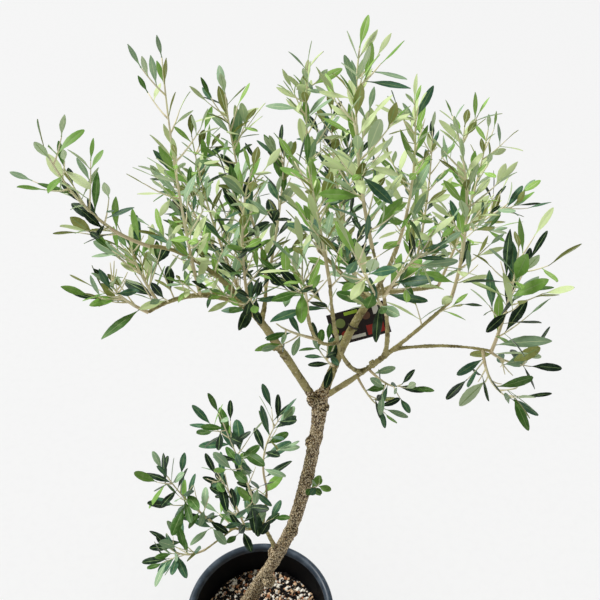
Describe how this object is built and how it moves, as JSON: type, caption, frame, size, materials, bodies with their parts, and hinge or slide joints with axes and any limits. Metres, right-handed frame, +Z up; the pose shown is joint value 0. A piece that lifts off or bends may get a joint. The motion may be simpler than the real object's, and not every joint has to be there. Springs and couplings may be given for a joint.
{
  "type": "potted olive tree",
  "caption": "Young olive tree trained to an open round crown on a bare, leaning trunk with one low leafy shoot, in a round black nursery pot filled with grit.",
  "frame": {"origin": "centre of the pot's flat underside", "axes": "+Z up out of the pot, +X to the right of the tree as the picture shows it, -Y towards the viewer"},
  "size_m": [0.4954, 0.3852, 1.0222],
  "materials": {
    "pot_plastic": "satin black moulded plastic",
    "grit": "rough brown grit with pale granules",
    "bark": "rough grey-brown bark",
    "bough_bark": "smooth olive-brown young bark",
    "tag_card": "printed card with a sheen",
    "foliage": "matte leaves, pale below"
  },
  "bodies": {
    "root": {"centre_back": "bough_bark", "centre_bough": "bough_bark", "centre_far": "bough_bark", "centre_leader": "bough_bark", "centre_left": "bough_bark", "centre_right": "bough_bark", "centre_shoot": "bough_bark", "front_shoot": "bough_bark", "front_twig": "bough_bark", "hang_tag": "tag_card", "leaves_back_left": "foliage", "leaves_back_mid": "foliage", "leaves_behind_left": "foliage", "leaves_behind_mid": "foliage", "leaves_behind_right": "foliage", "leaves_far_left": "foliage", "leaves_far_left_low": "foliage", "leaves_fork": "foliage", "leaves_front": "foliage", "leaves_front_mid": "foliage", "leaves_front_right": "foliage", "leaves_inner_mid": "foliage", "leaves_left_arm_end": "foliage", "leaves_left_front": "foliage", "leaves_left_mid": "foliage", "leaves_low_far_left": "foliage", "leaves_low_front": "foliage", "leaves_low_left": "foliage", "leaves_low_mid": "foliage", "leaves_low_right": "foliage", "leaves_low_up": "foliage", "leaves_low_up_right": "foliage", "leaves_right": "foliage", "leaves_right_back": "foliage", "leaves_right_end": "foliage", "leaves_right_front": "foliage", "leaves_right_mid": "foliage", "leaves_right_under": "foliage", "leaves_top_left": "foliage", "leaves_top_mid": "foliage", "leaves_top_mid_left": "foliage", "leaves_top_right": "foliage", "leaves_top_right_mid": "foliage", "leaves_trunk_side": "foliage", "leaves_under_right": "foliage", "leaves_upper_left": "foliage", "left_arm": "bough_bark", "left_back": "bough_bark", "left_bough": "bough_bark", "left_inner": "bough_bark", "left_rise": "bough_bark", "low_front": "bough_bark", "low_left": "bough_bark", "low_right": "bough_bark", "low_shoot": "bough_bark", "pot": "pot_plastic", "right_arm": "bough_bark", "right_bough": "bough_bark", "soil": "grit", "trunk": "bark"}
  },
  "joints": []
}
